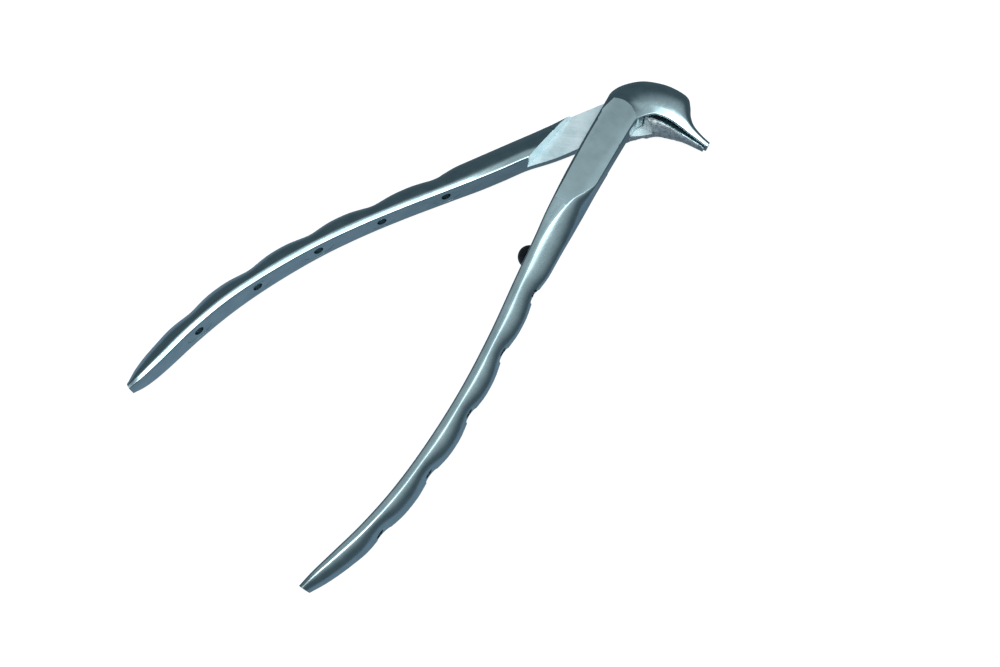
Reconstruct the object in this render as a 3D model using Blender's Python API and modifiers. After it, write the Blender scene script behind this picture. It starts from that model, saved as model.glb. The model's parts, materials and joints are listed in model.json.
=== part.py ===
"""Hawk-bill gripping pliers: two crossed levers on a blind pivot screw.

Units are metres, +Z up. The tool lies on its joint, with the pivot upright.
The handles point along -Y and the jaws turn sideways to +X.
"""
import math

import bmesh
import bpy
import numpy as np
from mathutils import Matrix, Vector

MM = 0.001

# Driving dimensions, in millimetres and degrees
HALF_OPENING = 13.0          # each handle's chord from the -Y axis, at rest
THICKNESS = 10.0             # over both plates of the lap joint
MID = THICKNESS / 2          # height of the plane where the plates meet
LAP_GAP = 0.15               # each plate stays this far from that plane
EDGE = 0.5                   # rounding of the flat sides' edges
WALL = 0.3                   # least upright wall left in a round side
HANDLE_RISE = 1.3            # height of a handle's round side over its width
JAW_RISE = 2.5
PIVOT_BORE = 2.5             # radius
PIVOT_SHANK = 2.2            # radius
PIVOT_TOP = 8.0              # end of the shank, blind in the front lever
HEAD_RADIUS = 3.4
HEAD_TOP = 1.9
BORE_DEPTH = 2.2             # counterbore in the rear lever
EYE_RADIUS = 5.2             # round of the rear lever under the front one
EYE_ROOM = 7.1               # radius the front lever leaves free for the rear one's turn
FINGER_HOLE = 1.9            # radius of the five holes in each handle
SCALLOP = 0.8                # depth of the finger valleys
STOP_AT = 48.0               # distance of the stop screw from the pivot
STOP_HEAD = 2.9              # radius
STOP_HEIGHT = 2.2
STOP_SHANK = 1.25
STOP_LENGTH = 3.6
SOCKET_FLATS = 1.5           # width across the flats of its hexagon
SOCKET_DEPTH = 1.2
HEAD_BOTTOM = 0.1            # the pivot head's face is just inside the rear lever's
SLOT_WIDTH = 0.9
SLOT_DEPTH = 1.0
FIT = 0.3                    # gap between pieces that touch
ARC_POINTS = 5
HANDLE_STEPS = 4             # stations from one driving row to the next
JAW_STEPS = 3

# Handle stations: along the chord, inner side, outer side, half height, flat strips above and below,
# rounding of the inner side's lower edge
FRONT_HANDLE = [
    (146.3, -0.6, 2.0, 2.0, 1.0, 1.0, 0.5), (142.0, 0.3, 4.3, 2.9, 1.3, 1.3, 0.5),
    (136.0, 1.8, 6.7, 3.5, 1.6, 1.6, 0.5), (127.0, 3.9, 9.4, 4.0, 1.8, 1.8, 0.5),
    (116.0, 5.4, 10.8, 4.0, 1.9, 1.9, 0.5), (103.0, 5.9, 11.6, 3.8, 1.9, 1.9, 0.5),
    (88.0, 5.4, 11.2, 3.5, 1.9, 1.9, 0.5), (72.0, 3.7, 9.7, 3.4, 1.9, 1.9, 0.5),
    (56.0, 1.2, 8.2, 3.5, 1.9, 1.9, 0.5), (44.0, -0.5, 7.2, 4.0, 2.0, 1.9, 0.5),
    (37.0, -1.6, 6.8, 4.5, 2.9, 2.0, 0.5), (30.5, -2.4, 6.4, 4.9, 4.8, 2.1, 0.5),
    (26.5, -2.9, 6.1, 4.98, 7.0, 2.2, 0.5), (22.0, -3.4, 5.8, 5.0, 8.6, 2.4, 0.5),
    (12.0, -4.3, 5.3, 5.0, 9.0, 2.6, 0.5), (3.0, -4.9, 4.9, 5.0, 9.3, 9.0, 0.5),
]
REAR_HANDLE = [
    (144.3, -0.6, 1.5, 2.0, 1.0, 1.0, 0.5), (140.5, -0.2, 4.2, 2.9, 1.3, 1.3, 0.5),
    (135.0, 1.1, 6.8, 3.4, 1.6, 1.6, 0.5), (124.0, 4.3, 10.8, 3.8, 1.8, 1.8, 0.5),
    (113.0, 6.6, 12.8, 3.9, 1.9, 1.9, 0.5), (101.0, 7.8, 14.0, 3.7, 1.9, 1.9, 0.5),
    (88.0, 8.1, 14.3, 3.5, 1.9, 1.9, 0.5), (76.0, 7.4, 13.7, 3.4, 1.9, 1.9, 0.5),
    (64.0, 6.0, 12.4, 3.4, 1.9, 1.9, 0.5), (51.0, 4.0, 11.2, 3.6, 2.0, 1.9, 0.6),
    (43.0, 2.7, 10.4, 3.9, 2.1, 2.2, 0.9), (36.0, 1.6, 9.7, 4.3, 2.2, 4.2, 1.7),
    (29.0, 0.7, 9.0, 4.6, 2.4, 6.4, 2.4), (21.0, -1.0, 8.2, 4.9, 2.8, 8.0, 2.6),
    (11.0, -2.0, 7.4, 5.0, 6.0, 8.6, 2.0),
]
# Finger holes: the first one's distance along the chord, and their pitch
FRONT_HOLES = (56.5, 17.4)
REAR_HOLES = (52.0, 17.8)
HOLE_COUNT = 5

# Jaw stations at rest: back x, y, parting face x, y, half height, flat rim
FRONT_JAW = [
    (-6.2, 0.8, 5.0, 0.3, 4.9, 9.6), (-7.2, 3.8, 5.5, 2.2, 4.75, 6.6), (-6.4, 7.7, 6.1, 3.8, 4.65, 3.9),
    (-3.5, 12.2, 6.9, 5.1, 4.6, 3.1), (1.4, 15.5, 8.0, 6.0, 4.4, 2.7), (5.8, 16.9, 9.4, 6.7, 4.2, 2.6),
    (9.0, 17.0, 11.0, 7.2, 3.9, 2.5), (11.2, 15.4, 12.6, 7.5, 3.6, 2.4), (13.4, 13.1, 14.4, 7.8, 3.2, 2.2),
    (15.9, 11.6, 16.6, 8.1, 2.6, 1.6), (19.2, 11.0, 19.4, 8.6, 1.9, 1.0), (22.0, 10.9, 22.5, 9.0, 1.4, 0.8),
]
REAR_JAW = [
    (4.7, -3.2, -6.7, -0.6, 5.0, 11.0), (6.9, -0.8, -4.6, 2.9, 5.0, 10.0), (8.0, 0.6, 0.6, 4.6, 4.9, 5.0),
    (8.7, 1.8, 5.45, 3.1, 4.5, 1.7), (9.4, 2.7, 6.9, 4.2, 4.0, 1.2), (10.6, 4.0, 9.2, 5.6, 3.4, 0.9),
    (12.9, 5.4, 12.7, 6.7, 2.6, 0.7), (16.4, 6.75, 16.4, 7.5, 1.7, 0.4), (20.4, 7.75, 20.3, 8.25, 1.2, 0.3),
    (22.05, 8.0, 22.0, 8.5, 0.9, 0.3),
]
# Lap recesses in plan: what each lever loses on the other one's side of the joint
REAR_LAP = [(-9.8, -9.2), (-7.2, -29.5), (14.0, -29.5), (14.0, 2.4), (5.95, 2.4), (6.5, 3.8), (7.3, 5.1),
            (7.3, 9.0), (-14.0, 9.0)]
FRONT_LAP = [(9.8, -9.2), (7.2, -29.5), (-14.0, -29.5), (-14.0, 3.0), (0.0, 3.0), (14.0, 0.0), (14.0, -9.2)]

PARTS = bpy.data.collections.new("gripping_pliers")
TOOLS = bpy.data.collections.new("cutters")


def clear_scene():
    for item in list(bpy.data.objects):
        bpy.data.objects.remove(item, do_unlink=True)
    bpy.context.scene.collection.children.link(PARTS)
    bpy.context.scene.collection.children.link(TOOLS)


def make_material(name, color, roughness, metallic):
    material = bpy.data.materials.new(name)
    material.use_nodes = True
    shader = material.node_tree.nodes["Principled BSDF"]
    shader.inputs["Base Color"].default_value = (*color, 1.0)
    shader.inputs["Roughness"].default_value = roughness
    shader.inputs["Metallic"].default_value = metallic
    material.diffuse_color = (*color, 1.0)
    return material


def add_object(name, mesh, collection):
    item = bpy.data.objects.new(name, mesh)
    collection.objects.link(item)
    return item


def smooth(rows, steps):
    """Catmull-Rom stations through the driving rows."""
    rows = np.array(rows, dtype=float)
    padded = np.vstack([2 * rows[0] - rows[1], rows, 2 * rows[-1] - rows[-2]])
    result = []
    for i in range(len(rows) - 1):
        a, b, c, d = padded[i:i + 4]
        for k in range(steps):
            u = k / steps
            result.append(0.5 * (2 * b + (c - a) * u + (2 * a - 5 * b + 4 * c - d) * u ** 2
                                 + (3 * b - a - 3 * c + d) * u ** 3))
    result.append(rows[-1])
    return result


def on_chord(along, across, side):
    """Plan point of a handle place: side is +1 for the front lever, -1 for the rear one."""
    angle = math.radians(HALF_OPENING)
    x = across * math.cos(angle) + along * math.sin(angle)
    y = across * math.sin(angle) - along * math.cos(angle)
    return Vector((side * x, y))


def valley(along, holes):
    """Depth of the finger scallops on the outer side."""
    first, pitch = holes
    before = first - 0.45 * pitch
    after = first + (HOLE_COUNT - 0.55) * pitch
    if not before < along < after:
        return 0.0
    wave = 0.5 + 0.5 * math.cos(2 * math.pi * (along - first) / pitch)
    return SCALLOP * wave ** 1.5


def half_section(width, half, flat, edge, rise):
    """Upper outline of a station from its flat side to its round side, above the mid plane."""
    edge = min(edge, 0.3 * width)
    edge_height = min(half - WALL, edge ** 1.5 + 0.15)
    round_width = min(width - edge - 0.1, max(EDGE, width - flat))
    round_height = min(half - WALL, rise * round_width)
    outline = []
    for k in range(ARC_POINTS):
        angle = 0.5 * math.pi * k / (ARC_POINTS - 1)
        outline.append((edge - edge * math.cos(angle), half - edge_height + edge_height * math.sin(angle)))
    for k in range(ARC_POINTS):
        angle = 0.5 * math.pi * k / (ARC_POINTS - 1)
        outline.append((width - round_width + round_width * math.sin(angle),
                        half - round_height + round_height * math.cos(angle)))
    return outline


def section_ring(face, back, half, flats, lower_edge, rise):
    """Ring around one station: a flat side at the face, a round one at the back."""
    half = min(half, MID)
    across = (back - face).normalized()
    width = (back - face).length
    upper = half_section(width, half, flats[0], EDGE, rise)
    lower = half_section(width, half, flats[1], lower_edge, rise)
    ring = upper + [(u, -z) for u, z in reversed(lower)]
    places = [face + across * u for u, z in ring]
    return [Vector((place.x, place.y, MID + z)) * MM for place, (u, z) in zip(places, ring)]


def swap_sides(ring):
    """The same ring, counted from the other side."""
    top = ring[:2 * ARC_POINTS]
    bottom = ring[2 * ARC_POINTS:]
    return list(reversed(top)) + list(reversed(bottom))


def lever_rings(handle, holes, jaw, side):
    rings = []
    for along, inner, outer, half, top, bottom, lower_edge in smooth(handle, HANDLE_STEPS):
        outer -= valley(along, holes)
        rings.append(section_ring(on_chord(along, inner, side), on_chord(along, outer, side), half,
                                  (top, bottom), lower_edge, HANDLE_RISE))
    for back_x, back_y, face_x, face_y, half, flat in smooth(jaw, JAW_STEPS):
        ring = section_ring(Vector((face_x, face_y)), Vector((back_x, back_y)), half, (flat, flat),
                            EDGE, JAW_RISE)
        rings.append(swap_sides(ring))
    return rings


def loft(name, rings):
    """Closed body through rings of equal length, capped at both ends."""
    bm = bmesh.new()
    rows = [[bm.verts.new(p) for p in ring] for ring in rings]
    count = len(rows[0])
    for first, second in zip(rows, rows[1:]):
        for k in range(count):
            n = (k + 1) % count
            bm.faces.new((first[k], first[n], second[n], second[k]))
    bm.faces.new(rows[0])
    bm.faces.new(list(reversed(rows[-1])))
    bmesh.ops.remove_doubles(bm, verts=bm.verts, dist=0.00002)
    bmesh.ops.triangulate(bm, faces=bm.faces)
    bmesh.ops.recalc_face_normals(bm, faces=bm.faces)
    mesh = bpy.data.meshes.new(name)
    bm.to_mesh(mesh)
    bm.free()
    return add_object(name, mesh, PARTS)


def cylinder(name, radius, bottom, top, sides, place=None):
    """Upright cylinder, or one laid at a given matrix."""
    bm = bmesh.new()
    bmesh.ops.create_cone(bm, cap_ends=True, segments=sides, radius1=radius * MM,
                          radius2=radius * MM, depth=(top - bottom) * MM)
    bmesh.ops.translate(bm, verts=bm.verts, vec=Vector((0, 0, (bottom + top) / 2)) * MM)
    if place is not None:
        bmesh.ops.transform(bm, matrix=place, verts=bm.verts)
    mesh = bpy.data.meshes.new(name)
    bm.to_mesh(mesh)
    bm.free()
    return add_object(name, mesh, TOOLS)


def plate(name, outline, bottom, top):
    """Flat outline as a filled 2D curve, extruded and made a mesh."""
    curve = bpy.data.curves.new(name + "_outline", "CURVE")
    curve.dimensions = "2D"
    curve.fill_mode = "BOTH"
    curve.extrude = (top - bottom) / 2 * MM
    spline = curve.splines.new("POLY")
    spline.points.add(len(outline) - 1)
    for point, (x, y) in zip(spline.points, outline):
        point.co = (x * MM, y * MM, 0.0, 1.0)
    spline.use_cyclic_u = True
    source = add_object(name + "_curve", curve, TOOLS)
    source.location.z = (bottom + top) / 2 * MM
    bpy.context.view_layer.update()
    graph = bpy.context.evaluated_depsgraph_get()
    mesh = bpy.data.meshes.new_from_object(source.evaluated_get(graph))
    mesh.transform(source.matrix_world)
    bpy.data.objects.remove(source, do_unlink=True)
    bm = bmesh.new()
    bm.from_mesh(mesh)
    bmesh.ops.remove_doubles(bm, verts=bm.verts, dist=0.00001)
    bmesh.ops.recalc_face_normals(bm, faces=bm.faces)
    bm.to_mesh(mesh)
    bm.free()
    return add_object(name, mesh, TOOLS)


def boolean(item, other, operation):
    modifier = item.modifiers.new(other.name, "BOOLEAN")
    modifier.operation = operation
    modifier.object = other
    modifier.solver = "EXACT"
    other.hide_render = True
    other.display_type = "WIRE"


def finish(item, material):
    """Take the modifiers' result as the mesh, and shade its round faces smooth."""
    bpy.context.view_layer.update()
    graph = bpy.context.evaluated_depsgraph_get()
    mesh = bpy.data.meshes.new_from_object(item.evaluated_get(graph))
    item.modifiers.clear()
    item.data = mesh
    mesh.materials.clear()
    mesh.materials.append(material)
    mesh.shade_smooth()
    mesh.set_sharp_from_angle(angle=math.radians(30))


def turned(name, profile, sides):
    """Body turned about Z from a profile that runs down its outer side."""
    mesh = bpy.data.meshes.new(name)
    points = [(radius * MM, 0.0, height * MM) for radius, height in profile]
    mesh.from_pydata(points, [(k, k + 1) for k in range(len(points) - 1)], [])
    item = add_object(name, mesh, PARTS)
    screw = item.modifiers.new("turn", "SCREW")
    screw.steps = sides
    screw.render_steps = sides
    screw.use_merge_vertices = True
    screw.merge_threshold = 0.00001
    return item


def inner_place(rows, along, side):
    """Matrix on a handle's inner face at mid height, its Z pointing out of the steel."""
    ordered = sorted(rows)
    stations = [row[0] for row in ordered]
    inner = [row[1] for row in ordered]
    here = on_chord(along, np.interp(along, stations, inner), side)
    before = on_chord(along - 2.0, np.interp(along - 2.0, stations, inner), side)
    after = on_chord(along + 2.0, np.interp(along + 2.0, stations, inner), side)
    run = (after - before).normalized()
    outward = Vector((run.y, -run.x, 0.0)) * side
    turn = outward.to_track_quat("Z", "Y").to_matrix().to_4x4()
    return Matrix.Translation(Vector((here.x, here.y, MID)) * MM) @ turn


def drill_finger_holes(item, name, handle, holes, side):
    first, pitch = holes
    for k in range(HOLE_COUNT):
        place = inner_place(handle, first + k * pitch, side)
        cutter = cylinder(f"{name}_{k + 1}", FINGER_HOLE, -10.0, 4.0, 16, place)
        boolean(item, cutter, "DIFFERENCE")


def make_front_lever():
    lever = loft("front_lever", lever_rings(FRONT_HANDLE, FRONT_HOLES, FRONT_JAW, 1))
    floor = MID + LAP_GAP
    boolean(lever, plate("front_lap", FRONT_LAP, -2.0, floor), "DIFFERENCE")
    boolean(lever, cylinder("eye_room", EYE_ROOM, -2.0, floor + 0.01, 48), "DIFFERENCE")
    boolean(lever, cylinder("pivot_blind_bore", PIVOT_BORE, -2.0, PIVOT_TOP + FIT, 24), "DIFFERENCE")
    drill_finger_holes(lever, "front_finger_hole", FRONT_HANDLE, FRONT_HOLES, 1)
    bore = inner_place(FRONT_HANDLE, STOP_AT, 1)
    boolean(lever, cylinder("stop_bore", STOP_SHANK + FIT, -STOP_LENGTH - FIT, 4.0, 16, bore), "DIFFERENCE")
    finish(lever, make_material("satin_steel_front", (0.42, 0.47, 0.49), 0.35, 1.0))
    return lever


def make_rear_lever():
    lever = loft("rear_lever", lever_rings(REAR_HANDLE, REAR_HOLES, REAR_JAW, -1))
    boolean(lever, cylinder("eye", EYE_RADIUS, 0.0, MID - LAP_GAP - 0.01, 48), "UNION")
    boolean(lever, plate("rear_lap", REAR_LAP, MID - LAP_GAP, THICKNESS + 2.0), "DIFFERENCE")
    boolean(lever, cylinder("pivot_bore", PIVOT_BORE, -2.0, MID + 2.0, 24), "DIFFERENCE")
    boolean(lever, cylinder("head_bore", HEAD_RADIUS + FIT, -2.0, BORE_DEPTH, 32), "DIFFERENCE")
    drill_finger_holes(lever, "rear_finger_hole", REAR_HANDLE, REAR_HOLES, -1)
    finish(lever, make_material("satin_steel_rear", (0.40, 0.45, 0.47), 0.35, 1.0))
    return lever


def make_pivot_screw():
    profile = [(0.0, PIVOT_TOP), (PIVOT_SHANK - 0.3, PIVOT_TOP), (PIVOT_SHANK, PIVOT_TOP - 0.3),
               (PIVOT_SHANK, HEAD_TOP), (HEAD_RADIUS, HEAD_TOP), (HEAD_RADIUS, HEAD_BOTTOM + 0.3),
               (HEAD_RADIUS - 0.3, HEAD_BOTTOM), (0.0, HEAD_BOTTOM)]
    screw = turned("pivot_screw", profile, 32)
    half = SLOT_WIDTH / 2
    reach = HEAD_RADIUS + 1.0
    slot = plate("pivot_slot", [(-reach, -half), (reach, -half), (reach, half), (-reach, half)],
                 HEAD_BOTTOM - 1.0, HEAD_BOTTOM + SLOT_DEPTH)
    boolean(screw, slot, "DIFFERENCE")
    finish(screw, make_material("pivot_steel", (0.50, 0.54, 0.55), 0.3, 1.0))
    return screw


def make_stop_screw():
    """Button-head screw, built upright and then laid on the handle's inner face."""
    sphere = (STOP_HEAD ** 2 + STOP_HEIGHT ** 2) / (2 * STOP_HEIGHT)
    crown = math.asin(STOP_HEAD / sphere)
    dome = []
    for k in range(8):
        angle = crown * k / 7
        dome.append((sphere * math.sin(angle), FIT + STOP_HEIGHT - sphere + sphere * math.cos(angle)))
    profile = dome + [(STOP_SHANK, FIT), (STOP_SHANK, 0.3 - STOP_LENGTH),
                      (STOP_SHANK - 0.3, -STOP_LENGTH), (0.0, -STOP_LENGTH)]
    screw = turned("stop_screw", profile, 32)
    socket = cylinder("stop_socket", SOCKET_FLATS / math.sqrt(3), STOP_HEIGHT - SOCKET_DEPTH,
                      STOP_HEIGHT + 2.0, 6)
    boolean(screw, socket, "DIFFERENCE")
    finish(screw, make_material("blackened_steel", (0.012, 0.013, 0.015), 0.35, 0.9))
    place = inner_place(FRONT_HANDLE, STOP_AT, 1)
    screw.matrix_world = place
    return screw


def center_footprint(items):
    """Move everything so that the origin is under the middle of the tool."""
    corners = [item.matrix_world @ Vector(corner) for item in items for corner in item.bound_box]
    low = Vector([min(corner[k] for corner in corners) for k in range(3)])
    high = Vector([max(corner[k] for corner in corners) for k in range(3)])
    pivot = bpy.data.objects.new("pivot_axis", None)
    bpy.context.scene.collection.objects.link(pivot)
    for item in items:
        item.parent = pivot
    pivot.location = (-(low.x + high.x) / 2, -(low.y + high.y) / 2, -low.z)
    bpy.context.view_layer.update()
    print("size in mm", [round(v / MM, 2) for v in high - low])
    print("pivot axis in mm", [round(v / MM, 3) for v in pivot.location])


def report_stop(screw):
    """Print the stop screw's seat and the way it backs out, for the record."""
    seat = screw.matrix_world.translation
    outward = screw.matrix_world.to_3x3() @ Vector((0, 0, 1))
    print("stop seat in mm", [round(v / MM, 3) for v in seat])
    print("stop axis", [round(v, 6) for v in outward])


def main():
    clear_scene()
    stop = make_stop_screw()
    center_footprint([make_front_lever(), make_rear_lever(), make_pivot_screw(), stop])
    report_stop(stop)


main()
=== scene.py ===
import json
import math

import bmesh
import bpy
from mathutils import Matrix, Vector, noise


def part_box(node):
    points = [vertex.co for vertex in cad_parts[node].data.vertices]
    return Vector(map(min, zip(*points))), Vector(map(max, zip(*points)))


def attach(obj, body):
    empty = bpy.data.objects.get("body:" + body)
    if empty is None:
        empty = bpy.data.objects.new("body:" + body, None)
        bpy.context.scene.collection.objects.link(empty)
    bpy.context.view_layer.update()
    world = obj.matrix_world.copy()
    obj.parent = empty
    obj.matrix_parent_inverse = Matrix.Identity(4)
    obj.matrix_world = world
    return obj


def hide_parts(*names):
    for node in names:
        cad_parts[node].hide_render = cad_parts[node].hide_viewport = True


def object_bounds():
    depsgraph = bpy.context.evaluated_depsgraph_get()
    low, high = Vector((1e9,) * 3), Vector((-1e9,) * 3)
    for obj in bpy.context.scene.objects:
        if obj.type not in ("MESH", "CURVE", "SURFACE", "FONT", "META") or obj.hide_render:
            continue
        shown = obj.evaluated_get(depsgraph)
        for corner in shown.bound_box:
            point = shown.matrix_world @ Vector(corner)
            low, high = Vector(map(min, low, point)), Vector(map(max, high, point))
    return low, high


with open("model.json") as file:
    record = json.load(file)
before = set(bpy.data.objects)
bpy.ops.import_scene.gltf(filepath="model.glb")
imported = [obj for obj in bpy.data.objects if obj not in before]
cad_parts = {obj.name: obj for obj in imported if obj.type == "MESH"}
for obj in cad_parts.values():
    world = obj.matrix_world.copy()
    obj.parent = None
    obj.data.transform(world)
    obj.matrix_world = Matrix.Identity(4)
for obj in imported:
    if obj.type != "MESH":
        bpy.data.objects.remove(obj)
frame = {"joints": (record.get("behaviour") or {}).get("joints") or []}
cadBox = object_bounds()

mm = 0.001
hinge = next(joint for joint in frame["joints"] if joint["name"] == "lever_pivot")
pivot = Vector(hinge["pos_m"]) / mm      # shapes below are in millimetres, in plan from the pivot
midPlane = pivot.z                       # height where the two joint plates meet
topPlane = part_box("front_lever")[1][2] / mm
slots = {"satin": 0, "lap": 1, "plate": 2, "grip": 3, "bore": 4}      # a lever's finishes

lever = {
    "halfOpening": 13.0,      # each handle's chord from the middle line, in degrees
    "edge": 0.45,             # rounding along the inner face of a narrow land
    "edgeGrowth": 0.06,       # how much rounder it gets as the land widens
    "wall": 0.3,              # upright land left at the equator of the round side
    "handleRise": 1.3,        # height of a round side over its width
    "jawRise": 2.5,
    "lapGap": 0.15,           # each plate stays this far from the middle plane
    "tiltFrom": 32, "tiltFull": 46,       # along the chord, where a land's tilt sets in
    # points on the face's edge, on the land and on the round side, and the part of the land they
    # take: along the handle, then three steps over the joint plate to the jaw's own order
    "handlePoints": (5, 2, 16, 0, 1),
    "outerPoints": (5, 13, 5, 0.97, 1),
    "innerPoints": (5, 13, 5, 0, 0.03),
    "jawPoints": (16, 2, 5, 0, 1),
    "handleSteps": 9,         # sections from one station to the next
    "jawSteps": 12,
    "scallop": 0.8,           # depth of the finger valleys
    "crease": 33,             # edges sharper than this stay crisp, in degrees
    "holes": 5,
    "holeRadius": 1.3,
    "mouthLength": 4.4,       # half length of the pointed recess round a hole
    "mouthHeight": 2.05,
    "mouthDepth": 0.45,
    "outletLength": 2.6,
    "outletDepth": 0.7,
}


def place(x, y, z):
    return Vector((pivot.x + x, pivot.y + y, z)) * mm


def newObject(name, bm):
    mesh = bpy.data.meshes.new(name)
    bm.to_mesh(mesh)
    bm.free()
    item = bpy.data.objects.new(name, mesh)
    bpy.context.scene.collection.objects.link(item)
    return item


def smoothRows(rows, steps):
    # sections along a Catmull-Rom curve through the stations
    before = [2 * a - b for a, b in zip(rows[0], rows[1])]
    after = [2 * a - b for a, b in zip(rows[-1], rows[-2])]
    padded = [before, *rows, after]
    result = []
    for i in range(len(rows) - 1):
        for k in range(steps):
            u = k / steps
            result.append([0.5 * (2 * b + (c - a) * u + (2 * a - 5 * b + 4 * c - d) * u ** 2
                                  + (3 * b - a - 3 * c + d) * u ** 3)
                           for a, b, c, d in zip(*padded[i:i + 4])])
    result.append(list(rows[-1]))
    return result


def onChord(along, across, side):
    # plan place on a handle, side is 1 for the front lever and -1 for the rear one
    angle = math.radians(lever["halfOpening"])
    x = across * math.cos(angle) + along * math.sin(angle)
    y = across * math.sin(angle) - along * math.cos(angle)
    return Vector((side * x, y))


def fingerValley(along, first, pitch):
    if not first - 0.45 * pitch < along < first + (lever["holes"] - 0.55) * pitch:
        return 0.0
    wave = 0.5 + 0.5 * math.cos(2 * math.pi * (along - first) / pitch)
    return lever["scallop"] * wave ** 1.5


def halfOutline(width, half, flat, edge, tilt, power, rise, counts):
    # edge rounding at the face, a level or tilted land, then a round side down to the equator
    edge = min(edge, 0.3 * width)
    edgeHeight = min(half - lever["wall"], edge ** 1.5 + 0.15)
    roundWidth = min(width - edge - 0.1, max(lever["edge"], width - flat))
    land = width - roundWidth
    drop = land * math.tan(math.radians(tilt))
    roundHeight = min(half - lever["wall"], rise * roundWidth)
    points = []
    for k in range(counts[0]):
        angle = 0.5 * math.pi * k / (counts[0] - 1)
        below = edgeHeight * (1 - math.sin(angle))
        points.append((edge - edge * math.cos(angle), half - drop - below))
    for k in range(counts[1]):
        part = counts[3] + (counts[4] - counts[3]) * (k + 1) / (counts[1] + 1)
        points.append((edge + (land - edge) * part, half - drop * (1 - part)))
    for k in range(counts[2]):
        angle = 0.5 * math.pi * k / (counts[2] - 1)
        away = math.sin(angle) ** (2 / power)
        down = 1 - max(0.0, math.cos(angle)) ** (2 / power)
        points.append((land + roundWidth * away, half - roundHeight * down))
    return points


def sectionRing(face, back, half, flats, lowerEdge, tilt, power, rise, counts):
    # the outline above the middle plane and the one below it, closed into a ring
    half = min(half, topPlane - midPlane)
    across = (back - face).normalized()
    width = (back - face).length
    edge = lever["edge"] + lever["edgeGrowth"] * max(0.0, flats[0] - 3)
    upper = halfOutline(width, half, flats[0], edge, tilt, power, rise, counts)
    lower = halfOutline(width, half, flats[1], lowerEdge, tilt, power, rise, counts)
    ring = upper + [(u, -z) for u, z in reversed(lower)]
    return [place(*(face + across * u), midPlane + z) for u, z in ring]


def swapSides(ring):
    # the same ring counted from its other side, for the jaw whose flat side faces across
    middle = len(ring) // 2
    return list(reversed(ring[:middle])) + list(reversed(ring[middle:]))


def pushThrough(name, rings):
    # a capped circle takes the first section's shape, then its face is extruded to each next one
    bm = bmesh.new()
    bmesh.ops.create_circle(bm, cap_ends=True, segments=len(rings[0]), radius=mm)
    bm.faces.ensure_lookup_table()
    end = bm.faces[0]
    for loop, point in zip(end.loops, rings[0]):
        loop.vert.co = point
    for ring in rings[1:]:
        end = bmesh.ops.extrude_discrete_faces(bm, faces=[end])["faces"][0]
        for loop, point in zip(end.loops, ring):
            loop.vert.co = point
    bmesh.ops.holes_fill(bm, edges=[edge for edge in bm.edges if edge.is_boundary], sides=0)
    bmesh.ops.remove_doubles(bm, verts=bm.verts, dist=0.004 * mm)
    bmesh.ops.recalc_face_normals(bm, faces=bm.faces)
    return newObject(name, bm)


def cutterPlate(name, outline, bottom, top, slot):
    bm = bmesh.new()
    corners = [bm.verts.new(place(x, y, bottom)) for x, y in outline]
    base = bm.faces.new(corners)
    raised = bmesh.ops.extrude_face_region(bm, geom=[base])["geom"]
    lifted = [item for item in raised if isinstance(item, bmesh.types.BMVert)]
    bmesh.ops.translate(bm, verts=lifted, vec=(0, 0, (top - bottom) * mm))
    bmesh.ops.recalc_face_normals(bm, faces=bm.faces)
    for face in bm.faces:
        face.material_index = slot
    return newObject(name, bm)


def stamp(bm, mesh, matrix):
    # a copy of a ready mesh, set down at a matrix
    count = len(bm.verts)
    bm.from_mesh(mesh)
    bm.verts.ensure_lookup_table()
    bmesh.ops.transform(bm, matrix=matrix, verts=bm.verts[count:])


def barMesh(radius, bottom, top, sides, slot):
    bm = bmesh.new()
    bmesh.ops.create_cone(bm, cap_ends=True, segments=sides, radius1=radius * mm,
                          radius2=radius * mm, depth=(top - bottom) * mm)
    bmesh.ops.translate(bm, verts=bm.verts, vec=Vector((0, 0, (bottom + top) / 2)) * mm)
    for face in bm.faces:
        face.material_index = slot
    mesh = bpy.data.meshes.new("bar")
    bm.to_mesh(mesh)
    bm.free()
    return mesh


def lensMesh(length, rise, depth):
    # a pointed spindle: an arc spun about its chord, then flattened to the depth of the recess
    bm = bmesh.new()
    radius = (length ** 2 + rise ** 2) / (2 * rise)
    reach = math.asin(length / radius)
    steps = 20
    angles = [reach * (2 * k / steps - 1) for k in range(steps + 1)]
    center = rise - radius
    points = [bm.verts.new(Vector((radius * math.sin(a), 0, radius * math.cos(a) + center)) * mm)
              for a in angles]
    edges = [bm.edges.new(pair) for pair in zip(points, points[1:])]
    bmesh.ops.spin(bm, geom=points + edges, cent=(0, 0, 0), axis=(1, 0, 0), dvec=(0, 0, 0),
                   angle=2 * math.pi, steps=28, use_merge=True, use_duplicate=False)
    bmesh.ops.remove_doubles(bm, verts=bm.verts, dist=0.004 * mm)
    bmesh.ops.recalc_face_normals(bm, faces=bm.faces)
    bmesh.ops.scale(bm, vec=(1, 1, depth / rise), verts=bm.verts)
    mesh = bpy.data.meshes.new("lens")
    bm.to_mesh(mesh)
    bm.free()
    return mesh


def turnedShape(profile, sides):
    # a profile of radius and height, spun about Z
    bm = bmesh.new()
    points = [bm.verts.new((radius * mm, 0, height * mm)) for radius, height in profile]
    edges = [bm.edges.new(pair) for pair in zip(points, points[1:])]
    bmesh.ops.spin(bm, geom=points + edges, cent=(0, 0, 0), axis=(0, 0, 1), dvec=(0, 0, 0),
                   angle=2 * math.pi, steps=sides, use_merge=True, use_duplicate=False)
    bmesh.ops.remove_doubles(bm, verts=bm.verts, dist=0.002 * mm)
    bmesh.ops.recalc_face_normals(bm, faces=bm.faces)
    return bm


def cut(item, other, operation="DIFFERENCE"):
    other.data.materials.clear()
    for material in item.data.materials:
        other.data.materials.append(material)
    modifier = item.modifiers.new(other.name, "BOOLEAN")
    modifier.operation = operation
    modifier.object = other
    modifier.solver = "EXACT"


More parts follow.
